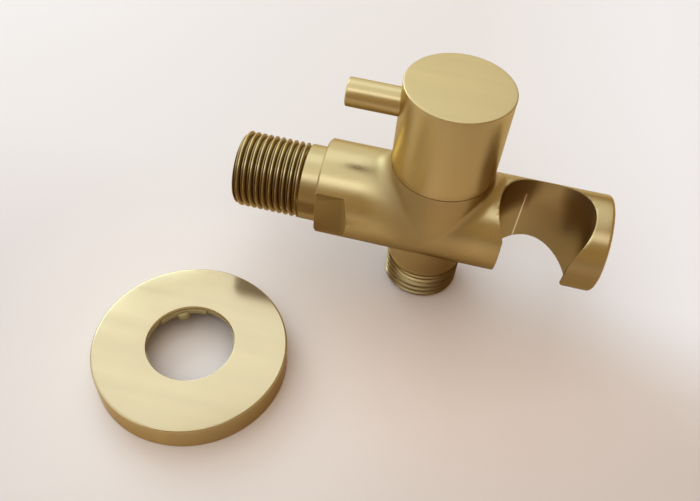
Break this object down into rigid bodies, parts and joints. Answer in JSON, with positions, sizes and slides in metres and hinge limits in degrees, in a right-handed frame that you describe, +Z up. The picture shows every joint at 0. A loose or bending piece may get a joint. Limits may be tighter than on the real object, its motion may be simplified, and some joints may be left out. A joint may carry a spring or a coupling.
{
  "type": "angle stop valve",
  "caption": "Angle stop valve with threaded inlet and outlet, a round knob with a lever pin, a hand-spray cradle and a loose wall escutcheon.",
  "frame": {"origin": "centre of the outlet nipple's end face, on the surface that the valve stands on", "axes": "+Z up along the stem, -X along the body towards the inlet, -Y out of the cradle's mouth"},
  "size_m": [0.1238, 0.086, 0.0676],
  "materials": {
    "satin_brass": "satin, fine turned brushing",
    "raw_brass": "machined",
    "steel": "bright",
    "ceramic": "lapped alumina",
    "black_rubber": "matt",
    "white_plastic": "moulded",
    "amber_rubber": "soft, slightly clear"
  },
  "bodies": {
    "valve": {"valve_body": "satin_brass", "outlet_nipple": "satin_brass", "nipple_gasket": "black_rubber", "strainer_mesh": "steel", "strainer_rim": "white_plastic", "cartridge_housing": "raw_brass", "housing_o_ring": "black_rubber", "thrust_washer": "white_plastic", "fixed_disc": "ceramic", "seat_seal": "black_rubber", "seal_support_ring": "white_plastic"},
    "handle": {"knob": "satin_brass", "lever_pin": "satin_brass", "knob_grub_screw": "steel", "spline_adapter": "white_plastic", "spindle": "raw_brass", "spindle_o_rings": "black_rubber", "spindle_clip": "steel", "disc_driver": "raw_brass", "rotating_disc": "ceramic"},
    "escutcheon": {"escutcheon_shell": "satin_brass", "escutcheon_grip_ring": "amber_rubber"}
  },
  "joints": [
    {"name": "handle_turn", "type": "hinge", "parent": "valve", "child": "handle", "pos_m": [0, 0, 0.0555], "axis": [0, 0, 1], "range_deg": [0, 90]},
    {"name": "escutcheon_lift", "type": "slide", "parent": "valve", "child": "escutcheon", "axis": [0, 0, 1], "range_m": [0, 0.06]}
  ]
}
